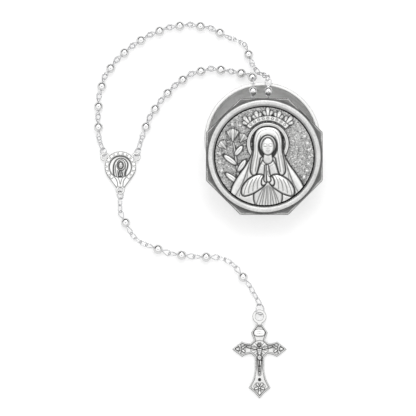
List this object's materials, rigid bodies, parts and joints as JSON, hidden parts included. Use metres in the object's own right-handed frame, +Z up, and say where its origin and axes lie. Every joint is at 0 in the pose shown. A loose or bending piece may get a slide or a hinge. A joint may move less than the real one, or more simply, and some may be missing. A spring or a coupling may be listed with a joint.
{
  "type": "rosary box",
  "caption": "Round metal keepsake box for a rosary, with a lift-off octagonal lid that carries a relief medallion and lies aslant, and the beaded rosary running out over the rim.",
  "frame": {"origin": "centre of the dish's flat underside, on the table", "axes": "+Z up, +Y towards the side where the dish stands open and the rosary runs out, +X to the right seen from above with +Y away from the viewer"},
  "size_m": [0.0989, 0.1657, 0.02],
  "materials": {
    "dish_metal": "satin nickel plate, fine spun lines",
    "lid_metal": "satin nickel plate, bright worn edges",
    "medallion_metal": "antiqued silver, dark in the recesses and bright on the relief",
    "bead_metal": "mirror polish",
    "wire_metal": "polished wire",
    "centrepiece_metal": "antiqued silver casting",
    "crucifix_metal": "antiqued silver casting, bright border",
    "corpus_metal": "polished high points"
  },
  "bodies": {
    "base": {"centrepiece": "centrepiece_metal", "dish": "dish_metal", "first_decade_beads": "bead_metal", "first_decade_links": "wire_metal", "first_decade_pins": "wire_metal", "first_father_beads": "bead_metal", "first_father_links": "wire_metal", "first_father_pins": "wire_metal", "kept_inner_beads": "bead_metal", "kept_inner_pins": "wire_metal", "kept_links": "wire_metal", "kept_outer_beads": "bead_metal", "kept_outer_pins": "wire_metal", "last_decade_beads": "bead_metal", "last_decade_links": "wire_metal", "last_decade_pins": "wire_metal", "left_jump_ring": "wire_metal", "mouth_beads": "bead_metal", "mouth_pins": "wire_metal", "right_jump_ring": "wire_metal", "rim_links": "wire_metal"},
    "lid": {"lid_shell": "lid_metal", "lid_medallion": "medallion_metal"},
    "drop_1": {"lower_jump_ring": "wire_metal", "drop_lug_links": "wire_metal", "drop_pin_1": "wire_metal"},
    "drop_2": {"drop_upper_links": "wire_metal", "drop_pin_2": "wire_metal"},
    "drop_3": {"drop_pin_3": "wire_metal"},
    "drop_4": {"drop_pin_4": "wire_metal"},
    "drop_5": {"drop_lower_links": "wire_metal", "drop_pin_5": "wire_metal"},
    "drop_ring": {"drop_cross_links": "wire_metal", "cross_jump_ring": "wire_metal"},
    "cross": {"crucifix": "crucifix_metal", "corpus": "corpus_metal"},
    "bead_1": {"drop_bead_1": "bead_metal"},
    "bead_2": {"drop_bead_2": "bead_metal"},
    "bead_3": {"drop_bead_3": "bead_metal"},
    "bead_4": {"drop_bead_4": "bead_metal"},
    "bead_5": {"drop_bead_5": "bead_metal"}
  },
  "joints": [
    {"name": "lid_lift", "type": "slide", "parent": "base", "child": "lid", "axis": [0, 0, 1], "range_m": [0, 0.03]},
    {"name": "drop_1_swing", "type": "hinge", "parent": "base", "child": "drop_1", "pos_m": [-0.0615, -0.0208, 0.002], "axis": [0, 0, 1], "range_deg": [-12, 12]},
    {"name": "drop_2_swing", "type": "hinge", "parent": "drop_1", "child": "drop_2", "pos_m": [-0.0567, -0.0399, 0.002], "axis": [0, 0, 1], "range_deg": [-15, 8]},
    {"name": "drop_3_swing", "type": "hinge", "parent": "drop_2", "child": "drop_3", "pos_m": [-0.0401, -0.0488, 0.002], "axis": [0, 0, 1], "range_deg": [-15, 8]},
    {"name": "drop_4_swing", "type": "hinge", "parent": "drop_3", "child": "drop_4", "pos_m": [-0.0296, -0.0502, 0.002], "axis": [0, 0, 1], "range_deg": [-15, 8]},
    {"name": "drop_5_swing", "type": "hinge", "parent": "drop_4", "child": "drop_5", "pos_m": [-0.019, -0.0505, 0.002], "axis": [0, 0, 1], "range_deg": [-20, 10]},
    {"name": "drop_ring_swing", "type": "hinge", "parent": "drop_5", "child": "drop_ring", "pos_m": [-0.0053, -0.0634, 0.002], "axis": [0, 0, 1], "range_deg": [-20, 15]},
    {"name": "cross_swing", "type": "hinge", "parent": "drop_ring", "child": "cross", "pos_m": [-0.0011, -0.07555, 0.00194], "axis": [0, 0, 1], "range_deg": [-15, 30]},
    {"name": "bead_1_spin", "type": "hinge", "parent": "drop_1", "child": "bead_1", "pos_m": [-0.0591, -0.03525, 0.002], "axis": [0.4586, -0.8886, 0], "continuous": true},
    {"name": "bead_2_spin", "type": "hinge", "parent": "drop_2", "child": "bead_2", "pos_m": [-0.04506, -0.0469, 0.002], "axis": [0.9335, -0.3587, 0], "continuous": true},
    {"name": "bead_3_spin", "type": "hinge", "parent": "drop_3", "child": "bead_3", "pos_m": [-0.03487, -0.0495, 0.002], "axis": [0.9912, -0.1325, 0], "continuous": true},
    {"name": "bead_4_spin", "type": "hinge", "parent": "drop_4", "child": "bead_4", "pos_m": [-0.02431, -0.05035, 0.002], "axis": [0.9996, -0.0283, 0], "continuous": true},
    {"name": "bead_5_spin", "type": "hinge", "parent": "drop_5", "child": "bead_5", "pos_m": [-0.0084, -0.0591, 0.002], "axis": [0.5848, -0.8112, 0], "continuous": true}
  ]
}
